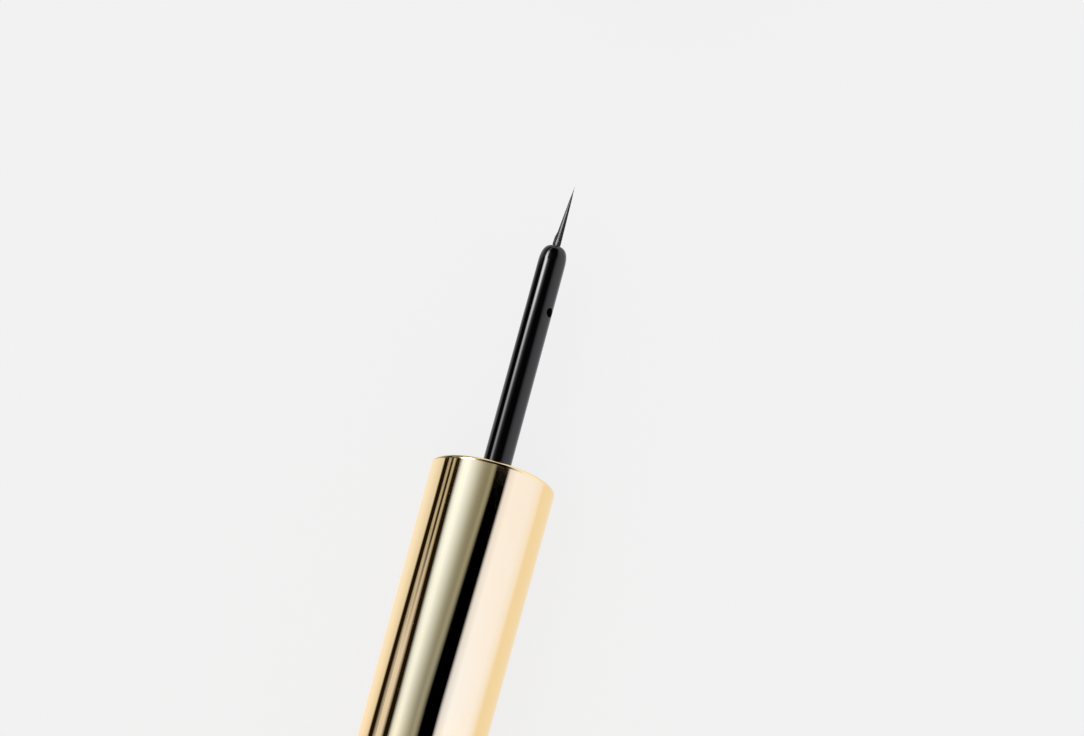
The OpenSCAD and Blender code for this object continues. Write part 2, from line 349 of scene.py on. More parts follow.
hang_cap_card("felt_by_cap", [
    (near_row, [(-107, umber), (-60, umber), (0, black), (26, black)]),
    (far_row, [(-112, umber), (-58, umber), (-10, black), (20, black)]),
], 0)
hang_cap_card("left_floor_card", [
    (near_row, [(-all_round, floor_near), (-136, floor_near), (-125, dimmed(floor_near, 0.94)),
                (-108.2, dimmed(floor_near, 0.8)), (-104.5, umber)]),
    (far_row, [(-all_round, floor_far), (-136, floor_far), (-125, dimmed(floor_far, 0.93)),
               (-116, dimmed(floor_far, 0.8)), (-110.6, umber)]),
])
hang_cap_card("tan_card", [
    (near_row, [(-95.7, umber), (-93, tan_dim), (-90.4, tan_dim), (-87.2, umber),
                (-84.2, umber), (-81.8, tan_dim), (-79.8, tan_dim), (-76.3, umber)]),
    (middle_row, [(-96.6, umber), (-94, tan_dim), (-90.2, tan_dim), (-86.8, umber),
                  (-84.6, umber), (-82.2, tan_dim), (-79.8, tan_dim), (-76, umber)]),
    (merged_row, [(-100.8, umber), (-94.3, dimmed(tan_light, 0.6)), (-90.5, tan_light), (-87.5, tan_light),
                  (-85.2, tan_light), (-82, tan_light), (-80.7, tan_light), (-73.4, umber)]),
])
hang_cap_card("cream_card", [
    (near_row, [(-69.4, umber), (-66, dimmed(cream_near, 0.42)), (-63, dimmed(cream_near, 0.8)),
                (-57, cream_near), (-49, cream_near), (-36, blend(cream_near, olive_near, 0.4)),
                (-23.3, blend(cream_near, olive_near, 0.85)), (-16.7, olive_near),
                (-9.7, dimmed(olive_near, 0.87)), (-4.1, dimmed(olive_near, 1.2)), (-1.5, olive_near),
                (3, black)]),
    (far_row, [(-65.4, umber), (-62.2, dimmed(cream_far, 0.35)), (-60, dimmed(cream_far, 0.7)),
               (-54, cream_far), (-48.6, cream_far), (-38.5, blend(cream_far, olive_far, 0.5)),
               (-28.9, blend(cream_far, olive_far, 0.88)), (-24, dimmed(olive_far, 0.97)),
               (-22, dimmed(olive_far, 0.97)), (-18, dimmed(olive_far, 1.15)), (-14.8, olive_far),
               (-7.6, black)]),
], goes_on=False)
hang_cap_card("ivory_card", [
    (near_row, [(22.8, black), (25.6, dimmed(ivory_near, 0.5)), (28.2, dimmed(ivory_near, 0.86)),
                (40.2, ivory_near), (80, dimmed(ivory_near, 0.98)),
                (99.5, blend(ivory_near, warm_light, 0.45)), (108, warm_light), (all_round, warm_light)]),
    (far_row, [(16.2, black), (19.8, dimmed(ivory_far, 0.5)), (22.9, dimmed(ivory_far, 0.78)),
               (36.5, ivory_far), (80, blend(ivory_far, ivory_near, 0.8)),
               (92, blend(ivory_near, warm_light, 0.3)), (105, warm_light), (all_round, warm_light)]),
], goes_on=False)

# The wand mirrors one long bright strip and one broad soft card. The strip is brighter
# towards the brush, and the floor card is paler beside the cap's rim and the wand's nose.
wand_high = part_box("wand")[1]
wand_look_r = 1.45 * mm
white = (1, 1, 1)
strip_shares = [(-73, 0), (-69, 0.18), (-65, 0.76), (-62, 1), (-55, 1), (-49, 0.44), (-43, 0.13),
                (-36, 0.045), (-28, 0.015), (-18, 0)]
nose_strip_shares = [(-73, 0), (-69.5, 0.12), (-65.5, 0.5), (-61, 0.88), (-52, 1), (-46, 0.6), (-40, 0.16),
                     (-33, 0.04), (-26, 0.015), (-15, 0)]
tip_strip_shares = [(-72, 0), (-67, 1), (-52, 1), (-45, 0.06), (-30, 0.01), (-12, 0.003), (0, 0)]
soft_light = (1.25, 1.25, 1.3)
soft_shares = [(18, 0), (24, 0.06), (31, 0.32), (38, 0.55), (47, 0.72), (57, 0.82), (66, 0.87),
               (86, 0.86), (112, 0.7), (all_round, 0.7)]
soft_tip_shares = [(24, 0), (30, 0.06), (36, 0.32), (42, 0.55), (49, 0.72), (57, 0.82), (66, 0.87),
                   (86, 0.86), (112, 0.7), (all_round, 0.7)]
dim_shares = [(-all_round, 0.9), (-148, 0.82), (-128, 0.58), (-112, 0.2), (-103, 0)]
rim_shares = [(-all_round, 0.95), (-148, 0.95), (-128, 0.85), (-112, 0.5), (-103, 0)]
nose_shares = [(-all_round, 0.95), (-148, 0.95), (-128, 0.92), (-112, 0.8), (-84, 0)]
felt_shares = [(-103, 0), (26, 0)]


def hang_wand_card(name, light, rows, layer=1):
    """A card beside the wand in one light. A row is a place from the cap's rim, the light's
    strength there, and the share of it at each direction."""
    hang_card(name, wand_look_r, [
        (rim_x + along, [(degrees, dimmed(light, strength * share)) for degrees, share in shares])
        for along, strength, shares in rows
    ], layer)


hang_wand_card("felt_by_wand", black, [(0, 1, felt_shares), (wand_cards_len, 1, felt_shares)], 0)
hang_wand_card("dim_floor_card", pale, [
    (0, 1, rim_shares), (8 * mm, 1, rim_shares), (15 * mm, 1, dim_shares), (23 * mm, 1, dim_shares),
    (25.5 * mm, 1, nose_shares), (wand_cards_len, 1, nose_shares),
])
hang_wand_card("bright_strip", white, [
    (0, 4.3, strip_shares), (11.4 * mm, 6.2, strip_shares), (20 * mm, 9.2, strip_shares),
    (27 * mm, 17, nose_strip_shares), (wand_cards_len, 17, nose_strip_shares),
])
hang_wand_card("tip_strip", white, [
    (wand_cards_len, 15, tip_strip_shares), (100 * mm, 9, tip_strip_shares),
    (170 * mm, 1, tip_strip_shares), (far_away, 1, tip_strip_shares),
], 2)
hang_wand_card("soft_card", soft_light, [
    (0, 1, soft_shares), (wand_cards_len, 1, soft_shares),
    (80 * mm, 1, soft_tip_shares), (far_away, 1, soft_tip_shares),
])


# The cap is a deep-drawn aluminium shell, anodised in pale gold and polished like a mirror.
# Its mouth has a softly turned rim, and its closed end a small round.
cap_len = rim_x - cap_low.x
cap_draft = 0.2 * mm
cap_wall = 0.7 * mm
cap_end_wall = 1.4 * mm
rim_round = 0.4 * mm
rim_inner_round = 0.12 * mm
cap_end_round = 1 * mm
hold = 0.04 * mm
round_steps = 6
shell_steps = 256
merge_reach = 0.0001 * mm
crease = math.radians(35)
gold_colour = (0.98, 0.77, 0.435, 1)
gold_deep = (0.97, 0.75, 0.41, 1)


def turned(name, x, outline, finish, closed=True, steps=shell_steps):
    """A turned piece from its half outline: distance along the pen, radius, and round of each
    corner. A point just beyond each round keeps the flats beside it straight."""
    bm = bmesh.new()
    chain = []
    rounded = []
    for n, (along, r, bend) in enumerate(outline):
        corner = bm.verts.new((x + along, 0, axis_z + r))
        chain.append(corner)
        if bend:
            rounded.append((corner, bend))
        if n + 1 < len(outline) or closed:
            next_along, next_r, next_bend = outline[(n + 1) % len(outline)]
            side = Vector((next_along - along, 0, next_r - r))
            if side.length > 2 * (bend + next_bend + hold):
                if bend:
                    chain.append(bm.verts.new(corner.co + side.normalized() * (bend + hold)))
                if next_bend:
                    chain.append(bm.verts.new(corner.co + side - side.normalized() * (next_bend + hold)))
    for first, last in zip(chain, chain[1:] + chain[:1] if closed else chain[1:]):
        bm.edges.new((first, last))
    for corner, bend in rounded:
        bmesh.ops.bevel(
            bm, geom=[corner], offset=bend, offset_type="OFFSET", segments=round_steps,
            profile=0.5, affect="VERTICES", material=-1,
        )
    bmesh.ops.spin(
        bm, geom=bm.verts[:] + bm.edges[:], cent=(x, 0, axis_z), axis=(1, 0, 0),
        angle=math.tau, steps=steps, use_merge=True,
    )
    bmesh.ops.remove_doubles(bm, verts=bm.verts[:], dist=merge_reach)
    bmesh.ops.recalc_face_normals(bm, faces=bm.faces[:])
    made = piece_from(bm, name, finish)
    made.data.set_sharp_from_angle(angle=crease)
    return made


def principled(finish, sockets):
    surface = finish.node("ShaderNodeBsdfPrincipled", {}, sockets)
    finish.node("ShaderNodeOutputMaterial", {}, {"Surface": surface})


def noise(finish, scale, detail=2, stretch=(1, 1, 1)):
    """Noise on the piece's own coordinates, from 0 to 1. Its scale is in spots a metre."""
    place = finish.node("ShaderNodeTexCoord", {}, {}, "Object")
    place = finish.node("ShaderNodeMapping", {}, {"Vector": place, "Scale": stretch})
    return finish.node("ShaderNodeTexNoise", {}, {"Vector": place, "Scale": scale, "Detail": detail})


def bumped(finish, height, depth, strength):
    return finish.node("ShaderNodeBump", {}, {"Height": height, "Distance": depth, "Strength": strength})


# Polishing leaves faint rings round the shell and a breath of haze.
haze_spots = 260
ring_spots = 900
ring_stretch = (1, 0.02, 0.02)
gold_rough = 0.026
haze_rough = 0.02
ring_rough = 0.01
ring_depth = 0.002 * mm
ring_strength = 0.1

gold = Finish(bpy.data.materials.new("polished gold"))
haze = noise(gold, haze_spots, detail=4)
polish_rings = noise(gold, ring_spots, detail=3, stretch=ring_stretch)
principled(gold, {
    "Metallic": 1,
    "Base Color": gold.mixed(haze, gold_colour, gold_deep),
    "Roughness": gold_rough + haze_rough * haze + ring_rough * polish_rings,
    "Normal": bumped(gold, polish_rings, ring_depth, ring_strength),
})

cap_shell = turned("cap_shell", rim_x, [
    (0, cap_r - cap_wall, rim_inner_round),
    (0, cap_r, rim_round),
    (-cap_len, cap_r - cap_draft, cap_end_round),
    (-cap_len, 0, 0),
    (cap_end_wall - cap_len, 0, 0),
    (cap_end_wall - cap_len, cap_r - cap_draft - cap_wall, rim_inner_round),
], gold)
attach(cap_shell, "applicator")
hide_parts("gold_cap")


# The liner is moulded in black plastic and pressed into the cap by its ribs. It holds the
# washer and the wand, and its thread runs on the bottle's neck.
bore_r = 4.75 * mm
skirt_wall = 0.55 * mm
web_t = 1.6 * mm
web_front = -13.95 * mm
web_back = web_front - web_t
boss_r = 3 * mm
boss_back = web_back - 3.6 * mm
socket_r = 1.58 * mm
liner_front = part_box("inner_cap")[1].x - rim_x
mouth_bend = 0.25 * mm
mould_bend = 0.15 * mm
rib_count = 12
rib_w = 0.9 * mm
rib_reach = 5.65 * mm
rib_step = 0.9 * mm
inner_steps = 128
moulding_dark = (0.018, 0.018, 0.019, 1)
moulding_pale = (0.035, 0.035, 0.037, 1)
grain_spots = 9000
flow_spots = 500
flow_stretch = (0.3, 1, 1)
moulding_rough = 0.36
flow_rough = 0.16
grain_rough = 0.08
grain_depth = 0.01 * mm
grain_strength = 0.4

moulding = Finish(bpy.data.materials.new("black moulding"))
grain = noise(moulding, grain_spots, detail=3)
flow = noise(moulding, flow_spots, stretch=flow_stretch)
principled(moulding, {
    "Base Color": moulding.mixed(flow, moulding_dark, moulding_pale),
    "Roughness": moulding_rough + flow_rough * flow + grain_rough * grain,
    "Normal": bumped(moulding, grain, grain_depth, grain_strength),
})

cap_liner = turned("cap_liner", rim_x, [
    (liner_front, bore_r, mouth_bend),
    (web_front, bore_r, mould_bend),
    (web_front, socket_r, mould_bend),
    (boss_back, socket_r, 0),
    (boss_back, boss_r, mould_bend),
    (web_back, boss_r, mould_bend),
    (web_back, bore_r + skirt_wall, mould_bend),
    (liner_front, bore_r + skirt_wall, mould_bend),
], moulding, steps=inner_steps)
bm = bmesh.new()
bm.from_mesh(cap_liner.data)
rib_low = bore_r + skirt_wall / 2
for n in range(rib_count):
    rib = bmesh.ops.create_cube(bm, size=1)["verts"]
    bmesh.ops.scale(bm, vec=(liner_front - rib_step - web_back, rib_w, rib_reach - rib_low), verts=rib)
    bmesh.ops.translate(
        bm, vec=((liner_front - rib_step + web_back) / 2, 0, (rib_reach + rib_low) / 2), verts=rib)
    bmesh.ops.rotate(bm, cent=(0, 0, 0), matrix=Matrix.Rotation(math.tau * n / rib_count, 3, "X"), verts=rib)
    bmesh.ops.translate(bm, vec=(rim_x, 0, axis_z), verts=rib)
bm.to_mesh(cap_liner.data)
bm.free()
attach(cap_liner, "applicator")
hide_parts("inner_cap")

# Both threads have one start and the same pitch. A quarter of the pitch between them keeps
# their ridges apart on the closed bottle, before the cap's turn and a turn and a half on.
thread_pitch = 2.4 * mm
thread_turns = 1.7
ridge_root_w = 0.6 * mm
ridge_crest_w = 0.26 * mm
ridge_sink = 0.06 * mm
ridge_bend = 0.05 * mm
ridge_steps = 96
ridge_round_steps = 2
run_out = 14
thread_place = 9.4 * mm
liner_crest_r = 4.18 * mm
rim_gap = 0.3 * mm


def thread_ridge(name, x, root_r, crest_r, turns, finish):
    """A screw thread's ridge with ends that run out into the wall."""
    bm = bmesh.new()
    outward = 1 if crest_r > root_r else -1
    section = [
        bm.verts.new((x + along, 0, axis_z + r))
        for along, r in (
            (-ridge_root_w / 2, root_r - outward * ridge_sink),
            (-ridge_crest_w / 2, crest_r),
            (ridge_crest_w / 2, crest_r),
            (ridge_root_w / 2, root_r - outward * ridge_sink),
        )
    ]
    for first, last in zip(section, section[1:] + section[:1]):
        bm.edges.new((first, last))
    bmesh.ops.bevel(
        bm, geom=section[1:3], offset=ridge_bend, offset_type="OFFSET", segments=ridge_round_steps,
        profile=0.5, affect="VERTICES", material=-1,
    )
    ring_size = len(bm.verts)
    steps = round(ridge_steps * turns)
    bmesh.ops.spin(
        bm, geom=bm.verts[:] + bm.edges[:], cent=(x, 0, axis_z), axis=(1, 0, 0),
        dvec=(thread_pitch * turns / steps, 0, 0), angle=math.tau * turns, steps=steps, use_merge=False,
    )
    bm.verts.ensure_lookup_table()
    for n, vert in enumerate(bm.verts):
        ring = n // ring_size
        share = min(1, ring / run_out, (steps - ring) / run_out)
        spoke = Vector((0, vert.co.y, vert.co.z - axis_z))
        low = root_r - outward * ridge_sink
        wanted = low + (spoke.length - low) * share
        vert.co += spoke * (wanted / spoke.length - 1)
    bmesh.ops.holes_fill(bm, edges=[edge for edge in bm.edges if edge.is_boundary], sides=ring_size)
    bmesh.ops.recalc_face_normals(bm, faces=bm.faces[:])
    made = piece_from(bm, name, finish)
    made.data.set_sharp_from_angle(angle=crease)
    return made


shoulder_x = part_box("shoulder_collar")[0].x
home_travel = shoulder_x - rim_gap - rim_x
neck_thread_x = shoulder_x - thread_place
liner_thread_x = neck_thread_x - home_travel + thread_pitch / 4
liner_thread = thread_ridge("liner_thread", liner_thread_x, bore_r, liner_crest_r, thread_turns, moulding)
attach(liner_thread, "applicator")


# The washer is a ring punched from soft white foam. It lies in the bottom of the liner and
# seals on the bottle's mouth.
washer_low, washer_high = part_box("seal_washer")
washer_t = washer_high.x - washer_low.x
washer_r = (washer_high.z - washer_low.z) / 2
washer_hole_r = 2.7 * mm
washer_bend = 0.2 * mm
foam_pale = (0.86, 0.86, 0.84, 1)
foam_dark = (0.74, 0.74, 0.71, 1)
cell_spots = 7000
dapple_spots = 700
foam_rough = 0.75
cell_rough = 0.15
cell_depth = 0.05 * mm
cell_strength = 0.6

foam = Finish(bpy.data.materials.new("washer foam"))
cells = foam.node("ShaderNodeTexVoronoi", {}, {
    "Vector": foam.node("ShaderNodeTexCoord", {}, {}, "Object"), "Scale": cell_spots,
}, "Distance")
dapple = noise(foam, dapple_spots, detail=3)
principled(foam, {
    "Base Color": foam.mixed(dapple, foam_pale, foam_dark),
    "Roughness": foam_rough + cell_rough * cells,
    "Normal": bumped(foam, cells, cell_depth, cell_strength),
})
seal_ring = turned("seal_ring", washer_low.x, [
    (0, washer_hole_r, washer_bend),
    (0, washer_r, washer_bend),
    (washer_t, washer_r, washer_bend),
    (washer_t, washer_hole_r, washer_bend),
], foam, steps=inner_steps)
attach(seal_ring, "washer")
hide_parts("seal_washer")


# The wand is moulded in glossy black plastic and pushed into the liner's boss up to its
# flange. It narrows slightly to a rounded nose. A cross hole lets the ink into its bore.
wand_out = wand_high.x - rim_x
wand_head_r = 1.415 * mm
wand_rim_r = 1.47 * mm
nose_len = 2.4 * mm
nose_power = 3.2
nose_steps = 22
flange_r = 2.6 * mm
flange_t = 0.8 * mm
tail_r = 1.55 * mm
tail_len = 4.8 * mm
tail_bend = 0.3 * mm
wand_bore_r = 0.435 * mm
wand_bore_len = 8 * mm
vent_r = 0.5 * mm
vent_back = 7.2 * mm
vent_turn = math.radians(55)
vent_ring = 0.1 * mm
vent_rings = 8
drill_sides = 64
drill_len = 4 * wand_head_r
wand_steps = 160
gloss_dark = (0.0008, 0.0008, 0.0009, 1)
gloss_pale = (0.002, 0.002, 0.0022, 1)
gloss_flow_spots = 400
gloss_flow_stretch = (0.25, 1, 1)
gloss_fine_spots = 5000
gloss_rough = 0.03
gloss_flow_rough = 0.04
gloss_fine_rough = 0.015
gloss_depth = 0.004 * mm
gloss_strength = 0.3
gloss_ior = 1.52

gloss = Finish(bpy.data.materials.new("black gloss"))
gloss_flow = noise(gloss, gloss_flow_spots, stretch=gloss_flow_stretch)
gloss_fine = noise(gloss, gloss_fine_spots)
principled(gloss, {
    "Base Color": gloss.mixed(gloss_flow, gloss_dark, gloss_pale),
    "Roughness": gloss_rough + gloss_flow_rough * gloss_flow + gloss_fine_rough * gloss_fine,
    "Normal": bumped(gloss, gloss_flow, gloss_depth, gloss_strength),
    "IOR": gloss_ior,
})

slope = (wand_rim_r - wand_head_r) / (wand_out - nose_len)
wand_outline = [
    (web_front - tail_len, 0, 0),
    (web_front - tail_len, tail_r, tail_bend),
    (web_front, tail_r, 0),
    (web_front, flange_r, mould_bend),
    (web_front + flange_t, flange_r, mould_bend),
    (web_front + flange_t, wand_rim_r - slope * (web_front + flange_t), 0),
]
# Close rings of points keep the cross hole's edge clean.
for n in range(-vent_rings, vent_rings + 1):
    along = wand_out - vent_back + n * vent_ring
    wand_outline.append((along, wand_rim_r - slope * along, 0))
wand_outline.append((wand_out - nose_len - hold, wand_rim_r - slope * (wand_out - nose_len - hold), 0))
nose_start = math.asin((wand_bore_r / wand_head_r) ** (nose_power / 2))
for n in range(nose_steps + 1):
    lean = math.pi / 2 + (nose_start - math.pi / 2) * n / nose_steps
    drop = 1 - abs(math.cos(lean)) ** (2 / nose_power) if n else 1
    wand_outline.append((wand_out - nose_len * drop, wand_head_r * math.sin(lean) ** (2 / nose_power), 0))
wand_outline += [(wand_out - wand_bore_len, wand_bore_r, 0), (wand_out - wand_bore_len, 0, 0)]
wand_stem = turned("wand_stem", rim_x, wand_outline, gloss, closed=False, steps=wand_steps)

bm = bmesh.new()
bmesh.ops.create_cone(
    bm, cap_ends=True, segments=drill_sides, radius1=vent_r, radius2=vent_r, depth=drill_len)
bmesh.ops.rotate(bm, cent=(0, 0, 0), matrix=Matrix.Rotation(vent_turn, 3, "X"), verts=bm.verts)
bmesh.ops.translate(bm, vec=(wand_high.x - vent_back, 0, axis_z), verts=bm.verts)
drill = piece_from(bm, "drill", gloss)
hole = wand_stem.modifiers.new("cross hole", "BOOLEAN")
hole.operation = "DIFFERENCE"
hole.solver = "EXACT"
hole.object = drill
bpy.context.view_layer.update()
drilled = bpy.data.meshes.new_from_object(wand_stem.evaluated_get(bpy.context.evaluated_depsgraph_get()))
wand_stem.modifiers.clear()
wand_stem.data = drilled
drilled.set_sharp_from_angle(angle=crease)
bpy.data.objects.remove(drill)
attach(wand_stem, "applicator")
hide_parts("wand")


# The brush is a tuft of some 340 tapered nylon hairs, fused at the root and glued into the
# wand's bore. The wet hairs cling into one point, and one stray lock stands off to the left.
# The hairs' tone carries painted light: a pale painted sheen just left of the middle, painted shade at both
# sides, and a painted shadow where the clumps merge.
tuft_r = 0.4 * mm
tuft_out = 6.8 * mm
tuft_set = 0.32 * mm
tuft_power = 0.88
tuft_lean = math.radians(1.8)
hair_count = 340
hair_r = 0.0185 * mm
hair_tip_r = 0.0028 * mm
hair_sides = 4
hair_cuts = 8
hair_taper = 1.5
hair_crease = math.radians(100)
longest_share = 0.99
short_share = 0.2
uneven_share = 0.985
golden_turn = math.radians(137.508)
wobble = 0.012 * mm
wobble_waves = 5
lock_out = 0.8
lock_left = 0.6
lock_len = 1.3 * mm
lock_bow = 0.13 * mm
# A painted shadow darkens the hairs a little above the root, where their clumps merge.
shaded_knot_place = 1.25 * mm
shaded_knot_len = 0.22 * mm
knot_painted_shade = 0.75
# These set the painted light in the hairs' tone: streaks round the tuft, and a pale band of painted sheen
# left of the middle that fades to painted shade at both sides.
streak_count = 7
streak_mean = 0.58
streak_depth = 0.42
least_painted_light = 0.02
uneven_tone = 0.7
tip_dark = 0.3
light_side = 0.28
light_reach = 0.64
plug_len = 4.9 * mm
plug_sides = 32
seed = 11
draw = random.Random(seed)
hair_black = grey(0.003)
painted_hair_sheen = grey(0.9)
hair_spots = 3000
hair_stretch = (0.3, 1, 1)
hair_tone_low = 0.7
hair_tone_range = 0.6
hair_rough = 0.28
hair_rough_range = 0.2

# The hairs' colour runs from black to a pale painted sheen, as far as their tone with its painted light
# lifts it.
bristle = Finish(bpy.data.materials.new("nylon hair"))
tone_and_painted_light = bristle.node("ShaderNodeAttribute", {"attribute_name": "tone_and_painted_light"}, {}, "Fac")
along_hair = noise(bristle, hair_spots, stretch=hair_stretch)
principled(bristle, {
    "Base Color": bristle.mixed(
        tone_and_painted_light * (hair_tone_low + hair_tone_range * along_hair), hair_black, painted_hair_sheen),
    "Roughness": hair_rough + hair_rough_range * along_hair,
})


def tuft_reach(height):
    """Half the tuft's width at a height above the wand's end."""
    return tuft_r * (1 - min(1, max(0, height) / tuft_out)) ** tuft_power


strand = bpy.data.meshes.new("strand")
bm = bmesh.new()
bmesh.ops.create_cone(bm, cap_ends=True, segments=hair_sides, radius1=1, radius2=1, depth=1)
sides = [edge for edge in bm.edges if edge.verts[0].co.z * edge.verts[1].co.z < 0]
bmesh.ops.subdivide_edges(bm, edges=sides, cuts=hair_cuts, use_grid_fill=False)
bm.to_mesh(strand)
bm.free()

bm = bmesh.new()
hair_tone_and_painted_light = bm.verts.layers.float.new("tone_and_painted_light")
for n in range(hair_count):
    out = math.sqrt((n + 0.5) / hair_count)
    way = golden_turn * n
    left = math.sin(way)
    length = tuft_out * (longest_share - short_share * out * out) * draw.uniform(uneven_share, 1)
    in_lock = out > lock_out and left > lock_left
    streak = streak_mean + streak_depth * math.sin(streak_count * way)
    # Painted light: hairs just left of the middle are painted pale as sheen, and those at both sides are
    # painted dark as shade.
    painted_light_tone = max(least_painted_light, 1 - abs(left - light_side) / light_reach) * streak
    painted_light_tone *= draw.uniform(uneven_tone, 1)
    phase = draw.uniform(0, math.tau)
    bm.from_mesh(strand)
    bm.verts.ensure_lookup_table()
    for vert in bm.verts[-len(strand.vertices):]:
        share = vert.co.z + 0.5
        height = -tuft_set - hair_r + share * (length + tuft_set + hair_r)
        width = spread(hair_r, hair_tip_r, share ** hair_taper)
        reach = max(0, tuft_reach(height) - width) * out
        if in_lock and 0 < height < lock_len:
            reach += lock_bow * math.sin(math.pi * height / lock_len)
        sway = wobble * math.sin(phase + wobble_waves * share) * math.sin(math.pi * share) * (1 - share)
        # Painted shadow where the clumps merge.
        knot_shadow = math.exp(-((height - shaded_knot_place) / shaded_knot_len) ** 2)
        vert[hair_tone_and_painted_light] = painted_light_tone * (1 - tip_dark * share) * (1 - knot_painted_shade * knot_shadow)
        vert.co = (
            reach * math.cos(way) + width * vert.co.x + sway,
            reach * left + width * vert.co.y,
            height,
        )
bmesh.ops.create_cone(
    bm, cap_ends=True, segments=plug_sides, radius1=tuft_r, radius2=tuft_r, depth=plug_len,
    matrix=Matrix.Translation((0, 0, -tuft_set - plug_len / 2)),
)
# The tuft stands on the Z axis so far. It is laid along the pen, and leans a little.
bmesh.ops.rotate(bm, cent=(0, 0, 0), matrix=Matrix.Rotation(math.pi / 2, 3, "Y"), verts=bm.verts)
for vert in bm.verts:
    vert.co.y -= max(0, vert.co.x + tuft_set) * math.tan(tuft_lean)
bmesh.ops.translate(bm, vec=(wand_high.x, 0, axis_z), verts=bm.verts)
bmesh.ops.recalc_face_normals(bm, faces=bm.faces[:])
brush_hairs = piece_from(bm, "brush_hairs", bristle)
brush_hairs.data.set_sharp_from_angle(angle=hair_crease)
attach(brush_hairs, "applicator")
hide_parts("brush_tuft")


# The bottle's shell is moulded in the same glossy black. Its flat base has a round edge and
# a shallow dish.
bottle_low, bottle_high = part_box("bottle_shell")
bottle_r = (bottle_high.z - bottle_low.z) / 2
bottle_draft = 0.2 * mm
shell_wall = 0.8 * mm
base_wall = 1.4 * mm
base_round = 1 * mm
base_dish = 0.12 * mm
dish_r = 4.2 * mm
shell_len = bottle_high.x - bottle_low.x
lacquer_dark = (0.002, 0.002, 0.0022, 1)
lacquer_pale = (0.004, 0.004, 0.0045, 1)
peel_spots = 1200
dust_spots = 12000
lacquer_rough = 0.04
peel_rough = 0.03
dust_rough = 0.02
peel_depth = 0.003 * mm
peel_strength = 0.4

lacquer = Finish(bpy.data.materials.new("black lacquer"))
peel = noise(lacquer, peel_spots)
dust = noise(lacquer, dust_spots)
principled(lacquer, {
    "Base Color": lacquer.mixed(peel, lacquer_dark, lacquer_pale),
    "Roughness": lacquer_rough + peel_rough * peel + dust_rough * dust,
    "Normal": bumped(lacquer, peel, peel_depth, peel_strength),
    "IOR": gloss_ior,
})
bottle_body = turned("bottle_body", bottle_low.x, [
    (0, bottle_r - shell_wall, mould_bend),
    (0, bottle_r, mould_bend),
    (shell_len, bottle_r - bottle_draft, base_round),
    (shell_len, dish_r, base_dish),
    (shell_len - base_dish, dish_r - 2 * base_dish, base_dish),
    (shell_len - base_dish, 0, 0),
    (shell_len - base_wall, 0, 0),
    (shell_len - base_wall, bottle_r - bottle_draft - shell_wall, 0),
], lacquer)
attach(bottle_body, "bottle")
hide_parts("bottle_shell")


# The shoulder collar is a ring of the cap's gold aluminium. Its spigot presses into the shell
# and holds the vial down.
collar_t = 1.4 * mm
collar_r = 6.5 * mm
collar_hole_r = 4.05 * mm
collar_round = 0.3 * mm
spigot_len = 1.6 * mm
spigot_r = 5.65 * mm
spigot_wall = 0.7 * mm
collar_ring = turned("collar_ring", shoulder_x, [
    (0, collar_hole_r, rim_inner_round),
    (0, collar_r, collar_round),
    (collar_t, collar_r, rim_inner_round),
    (collar_t, spigot_r, 0),
    (collar_t + spigot_len, spigot_r, rim_inner_round),
    (collar_t + spigot_len, spigot_r - spigot_wall, rim_inner_round),
    (collar_t, spigot_r - spigot_wall, 0),
    (collar_t, collar_hole_r, 0),
], gold)
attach(collar_ring, "bottle")
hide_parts("shoulder_collar")


# The vial holds the ink. It is moulded in one with its neck, which has the thread and a small
# bead that snaps behind the collar.
vial_low, vial_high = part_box("vial")
neck_r = 3.95 * mm
neck_in_r = 3.05 * mm
neck_len = shoulder_x - vial_low.x
neck_chamfer = 0.25 * mm
neck_bead_h = 0.3 * mm
neck_bead_w = 0.9 * mm
bead_slope = neck_bead_w / 4
bead_gap = 0.03 * mm
bead_bend = 0.1 * mm
step_start = 1.43 * mm
step_end = 3.03 * mm
step_r = 4.92 * mm
vial_top_r = 5.65 * mm
vial_end_r = 5.47 * mm
vial_wall = 0.9 * mm
vial_floor = 1 * mm
vial_len = vial_high.x - shoulder_x
vial_crest_r = 4.35 * mm
vial_dark = (0.04, 0.04, 0.044, 1)
vial_pale = (0.07, 0.07, 0.075, 1)
vial_flow_spots = 450
vial_fine_spots = 7000
vial_rough = 0.2
vial_flow_rough = 0.12
vial_fine_rough = 0.06
vial_depth = 0.006 * mm
vial_strength = 0.3

vial_plastic = Finish(bpy.data.materials.new("vial plastic"))
vial_flow = noise(vial_plastic, vial_flow_spots, detail=3, stretch=flow_stretch)
vial_fine = noise(vial_plastic, vial_fine_spots)
principled(vial_plastic, {
    "Base Color": vial_plastic.mixed(vial_flow, vial_dark, vial_pale),
    "Roughness": vial_rough + vial_flow_rough * vial_flow + vial_fine_rough * vial_fine,
    "Normal": bumped(vial_plastic, vial_fine, vial_depth, vial_strength),
})
vial_body = turned("vial_body", shoulder_x, [
    (-neck_len, neck_in_r, bead_bend),
    (-neck_len, neck_r, neck_chamfer),
    (-bead_gap - neck_bead_w, neck_r, 0),
    (-bead_gap - neck_bead_w + bead_slope, neck_r + neck_bead_h, bead_bend),
    (-bead_gap - bead_slope, neck_r + neck_bead_h, bead_bend),
    (-bead_gap, neck_r, 0),
    (step_start, neck_r, 0),
    (step_start, step_r, 0),
    (step_end, step_r, 0),
    (step_end, vial_top_r, 0),
    (vial_len, vial_end_r, mould_bend),
    (vial_len, 0, 0),
    (vial_len - vial_floor, 0, 0),
    (vial_len - vial_floor, vial_end_r - vial_wall, mould_bend),
    (step_end + vial_end_r - vial_wall - neck_in_r, vial_end_r - vial_wall, mould_bend),
    (step_end, neck_in_r, mould_bend),
], vial_plastic, steps=inner_steps)
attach(vial_body, "bottle")
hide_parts("vial")

vial_thread = thread_ridge(
    "vial_thread", neck_thread_x, neck_r, vial_crest_r, thread_turns, vial_plastic)
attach(vial_thread, "bottle")


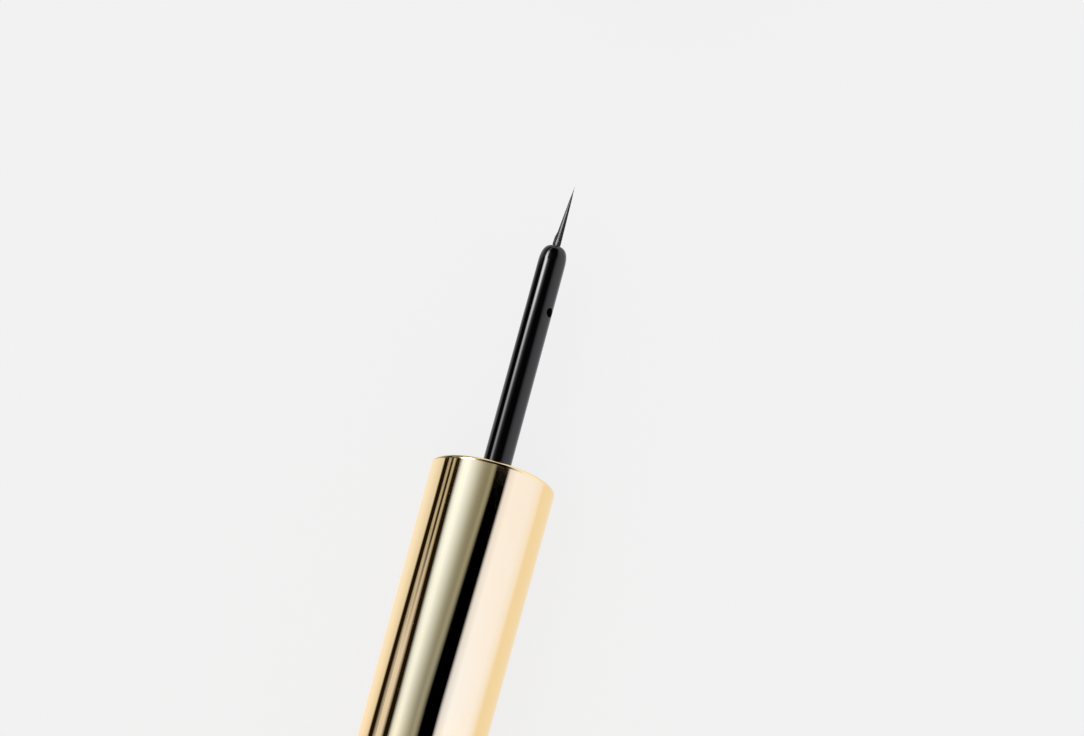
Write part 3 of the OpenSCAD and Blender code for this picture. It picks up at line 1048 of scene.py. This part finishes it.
# The wiper is a soft waxy cup pushed into the neck. Its lip strips the wand on the way out,
# so ink stays on the lip.
wiper_flange_t = 0.6 * mm
wiper_flange_r = 3.7 * mm
wiper_r = 3.02 * mm
wiper_wall = 0.5 * mm
wiper_cup_len = 4.8 * mm
wiper_len = 8.6 * mm
lip_len = 1.2 * mm
lip_r = 1.6 * mm
lip_wall = 0.35 * mm
wiper_bend = 0.12 * mm
mouth_x = shoulder_x - neck_len
ink_start = 3.4 * mm
ink_fade = 1 * mm
ink_ragged = 1.6
wax_white = (0.78, 0.78, 0.76, 1)
ink_black = (0.012, 0.012, 0.013, 1)
smear_spots = 1500
smear_stretch = (0.4, 1, 1)
wax_rough = 0.42
ink_gloss = 0.26
smear_rough = 0.1
smear_depth = 0.01 * mm
smear_strength = 0.2

waxy = Finish(bpy.data.materials.new("waxy wiper"))
depth_in = waxy.node("ShaderNodeSeparateXYZ", {}, {
    "Vector": waxy.node("ShaderNodeTexCoord", {}, {}, "Object"),
}, "X")
smear = noise(waxy, smear_spots, detail=3, stretch=smear_stretch)
ink = ((depth_in - (mouth_x + ink_start)) * (1 / ink_fade) + ink_ragged * smear).at_least(0).at_most(1)
principled(waxy, {
    "Base Color": waxy.mixed(ink, wax_white, ink_black),
    "Roughness": wax_rough - ink_gloss * ink + smear_rough * smear,
    "Normal": bumped(waxy, smear, smear_depth, smear_strength),
})
wiper_cup = turned("wiper_cup", mouth_x, [
    (-wiper_flange_t, wiper_r - wiper_wall, wiper_bend),
    (-wiper_flange_t, wiper_flange_r, wiper_bend),
    (0, wiper_flange_r, wiper_bend),
    (0, wiper_r, 0),
    (wiper_cup_len, wiper_r, wiper_bend),
    (wiper_len - lip_len, lip_r + lip_wall, wiper_bend),
    (wiper_len, lip_r + lip_wall, wiper_bend),
    (wiper_len, lip_r, wiper_bend),
    (wiper_len - lip_len, lip_r, wiper_bend),
    (wiper_cup_len, wiper_r - wiper_wall, wiper_bend),
], waxy, steps=inner_steps)
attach(wiper_cup, "bottle")
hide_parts("wiper")


# The mixing ball is bearing steel, dulled by the ink. It rolls free in the vial. Its solid is
# exact, so it keeps its shape here and only gets its steel.
steel_pale = (0.66, 0.66, 0.67, 1)
steel_dark = (0.4, 0.4, 0.41, 1)
dull_spots = 1600
scuff_spots = 6000
scuff_stretch = (0.2, 1, 1)
steel_rough = 0.12
dull_rough = 0.25
scuff_rough = 0.08
scuff_depth = 0.004 * mm
scuff_strength = 0.3

steel = Finish(bpy.data.materials.new("ball steel"))
dulling = noise(steel, dull_spots, detail=4)
scuffs = noise(steel, scuff_spots, stretch=scuff_stretch)
principled(steel, {
    "Metallic": 1,
    "Base Color": steel.mixed(dulling, steel_pale, steel_dark),
    "Roughness": steel_rough + dull_rough * dulling + scuff_rough * scuffs,
    "Normal": bumped(steel, scuffs, scuff_depth, scuff_strength),
})
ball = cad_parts["mixing_ball"]
for slot in ball.material_slots:
    slot.material = steel.owner

bpy.context.scene.view_settings.view_transform = "Standard"
